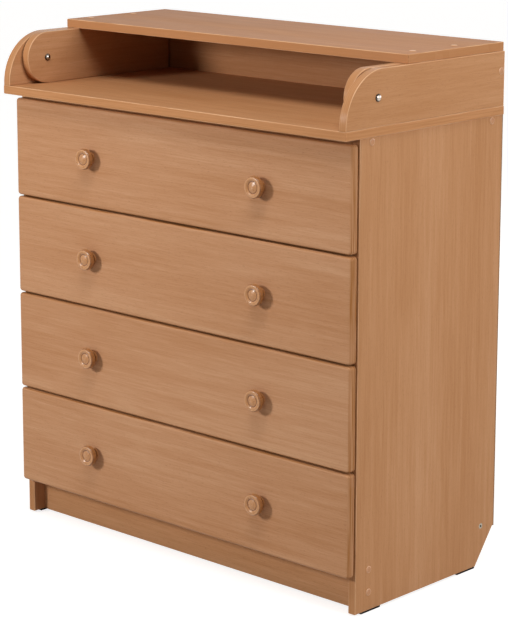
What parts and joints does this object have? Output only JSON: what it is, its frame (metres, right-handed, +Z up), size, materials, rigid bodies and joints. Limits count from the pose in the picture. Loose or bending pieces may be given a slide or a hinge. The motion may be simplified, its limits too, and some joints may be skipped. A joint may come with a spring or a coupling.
{
  "type": "changing dresser",
  "caption": "Nursery dresser of laminated board with drawers on roller runners and a top tray whose lid flips forward on arms to make a deeper changing table.",
  "frame": {"origin": "on the floor, under the middle of the closed dresser's outline", "axes": "+X to the right as one faces the drawers, -Y to the front, +Z up"},
  "size_m": [0.846, 0.427, 0.9503],
  "materials": {
    "carcass_board": "satin melamine, wood grain",
    "tray_board": "satin melamine, wood grain",
    "lid_board": "satin melamine, wood grain",
    "front_board": "satin melamine, wood grain",
    "drawer_board": "matte melamine",
    "hardboard": "matte hardboard",
    "knob_wood": "satin lacquer on turned beech",
    "cap_plastic": "satin",
    "glide_plastic": "matte",
    "roller_plastic": "satin",
    "washer_plastic": "matte",
    "runner_steel": "powder coat",
    "zinc_steel": "zinc plated",
    "bolt_chrome": "bright"
  },
  "bodies": {
    "carcass": {"side_panel_left": "carcass_board", "side_panel_right": "carcass_board", "bottom_panel": "carcass_board", "plinth_front": "carcass_board", "top_rails": "carcass_board", "back_panel": "hardboard", "glides": "glide_plastic", "confirmat_screws": "zinc_steel", "screw_caps": "cap_plastic", "back_panel_nails": "zinc_steel", "cabinet_runners": "runner_steel", "cabinet_runner_screws": "zinc_steel", "tray_board": "tray_board", "tray_cheek_left": "tray_board", "tray_cheek_right": "tray_board", "tray_back_rail": "tray_board", "tray_screws": "zinc_steel", "pivot_bolts": "bolt_chrome", "pivot_washers": "washer_plastic"},
    "flip_lid": {"lid_board": "lid_board", "lid_arm_left": "lid_board", "lid_arm_right": "lid_board", "lid_screws": "zinc_steel", "lid_screw_caps": "cap_plastic"},
    "drawer_1": {"drawer_1_front": "front_board", "drawer_1_sides": "drawer_board", "drawer_1_back": "drawer_board", "drawer_1_base": "hardboard", "drawer_1_knobs": "knob_wood", "drawer_1_fasteners": "zinc_steel", "drawer_1_runners": "runner_steel"},
    "cabinet_roller_set_1": {"cabinet_rollers_1": "roller_plastic"},
    "drawer_roller_set_1": {"drawer_1_rollers": "roller_plastic"},
    "drawer_2": {"drawer_2_front": "front_board", "drawer_2_sides": "drawer_board", "drawer_2_back": "drawer_board", "drawer_2_base": "hardboard", "drawer_2_knobs": "knob_wood", "drawer_2_fasteners": "zinc_steel", "drawer_2_runners": "runner_steel"},
    "cabinet_roller_set_2": {"cabinet_rollers_2": "roller_plastic"},
    "drawer_roller_set_2": {"drawer_2_rollers": "roller_plastic"},
    "drawer_3": {"drawer_3_front": "front_board", "drawer_3_sides": "drawer_board", "drawer_3_back": "drawer_board", "drawer_3_base": "hardboard", "drawer_3_knobs": "knob_wood", "drawer_3_fasteners": "zinc_steel", "drawer_3_runners": "runner_steel"},
    "cabinet_roller_set_3": {"cabinet_rollers_3": "roller_plastic"},
    "drawer_roller_set_3": {"drawer_3_rollers": "roller_plastic"},
    "drawer_4": {"drawer_4_front": "front_board", "drawer_4_sides": "drawer_board", "drawer_4_back": "drawer_board", "drawer_4_base": "hardboard", "drawer_4_knobs": "knob_wood", "drawer_4_fasteners": "zinc_steel", "drawer_4_runners": "runner_steel"},
    "cabinet_roller_set_4": {"cabinet_rollers_4": "roller_plastic"},
    "drawer_roller_set_4": {"drawer_4_rollers": "roller_plastic"}
  },
  "joints": [
    {"name": "lid_flip", "type": "hinge", "parent": "carcass", "child": "flip_lid", "pos_m": [0, -0.1345, 0.8852], "axis": [1, 0, 0], "range_deg": [0, 180]},
    {"name": "drawer_1_slide", "type": "slide", "parent": "carcass", "child": "drawer_1", "axis": [0, -1, 0], "range_m": [0, 0.26]},
    {"name": "cabinet_rollers_1_spin", "type": "hinge", "parent": "carcass", "child": "cabinet_roller_set_1", "pos_m": [0, -0.1585, 0.6587], "axis": [1, 0, 0], "range_deg": [0, 1540]},
    {"name": "drawer_1_rollers_spin", "type": "hinge", "parent": "drawer_1", "child": "drawer_roller_set_1", "pos_m": [0, 0.1585, 0.6582], "axis": [1, 0, 0], "range_deg": [0, 1540]},
    {"name": "drawer_2_slide", "type": "slide", "parent": "carcass", "child": "drawer_2", "axis": [0, -1, 0], "range_m": [0, 0.26]},
    {"name": "cabinet_rollers_2_spin", "type": "hinge", "parent": "carcass", "child": "cabinet_roller_set_2", "pos_m": [0, -0.1585, 0.4727], "axis": [1, 0, 0], "range_deg": [0, 1540]},
    {"name": "drawer_2_rollers_spin", "type": "hinge", "parent": "drawer_2", "child": "drawer_roller_set_2", "pos_m": [0, 0.1585, 0.4722], "axis": [1, 0, 0], "range_deg": [0, 1540]},
    {"name": "drawer_3_slide", "type": "slide", "parent": "carcass", "child": "drawer_3", "axis": [0, -1, 0], "range_m": [0, 0.26]},
    {"name": "cabinet_rollers_3_spin", "type": "hinge", "parent": "carcass", "child": "cabinet_roller_set_3", "pos_m": [0, -0.1585, 0.2867], "axis": [1, 0, 0], "range_deg": [0, 1540]},
    {"name": "drawer_3_rollers_spin", "type": "hinge", "parent": "drawer_3", "child": "drawer_roller_set_3", "pos_m": [0, 0.1585, 0.2862], "axis": [1, 0, 0], "range_deg": [0, 1540]},
    {"name": "drawer_4_slide", "type": "slide", "parent": "carcass", "child": "drawer_4", "axis": [0, -1, 0], "range_m": [0, 0.26]},
    {"name": "cabinet_rollers_4_spin", "type": "hinge", "parent": "carcass", "child": "cabinet_roller_set_4", "pos_m": [0, -0.1585, 0.1007], "axis": [1, 0, 0], "range_deg": [0, 1540]},
    {"name": "drawer_4_rollers_spin", "type": "hinge", "parent": "drawer_4", "child": "drawer_roller_set_4", "pos_m": [0, 0.1585, 0.1002], "axis": [1, 0, 0], "range_deg": [0, 1540]}
  ],
  "couplings": [
    {"joint": "cabinet_rollers_1_spin", "follows": "drawer_1_slide", "rad_per_m": 103.09},
    {"joint": "drawer_1_rollers_spin", "follows": "drawer_1_slide", "rad_per_m": 103.09},
    {"joint": "cabinet_rollers_2_spin", "follows": "drawer_2_slide", "rad_per_m": 103.09},
    {"joint": "drawer_2_rollers_spin", "follows": "drawer_2_slide", "rad_per_m": 103.09},
    {"joint": "cabinet_rollers_3_spin", "follows": "drawer_3_slide", "rad_per_m": 103.09},
    {"joint": "drawer_3_rollers_spin", "follows": "drawer_3_slide", "rad_per_m": 103.09},
    {"joint": "cabinet_rollers_4_spin", "follows": "drawer_4_slide", "rad_per_m": 103.09},
    {"joint": "drawer_4_rollers_spin", "follows": "drawer_4_slide", "rad_per_m": 103.09}
  ]
}
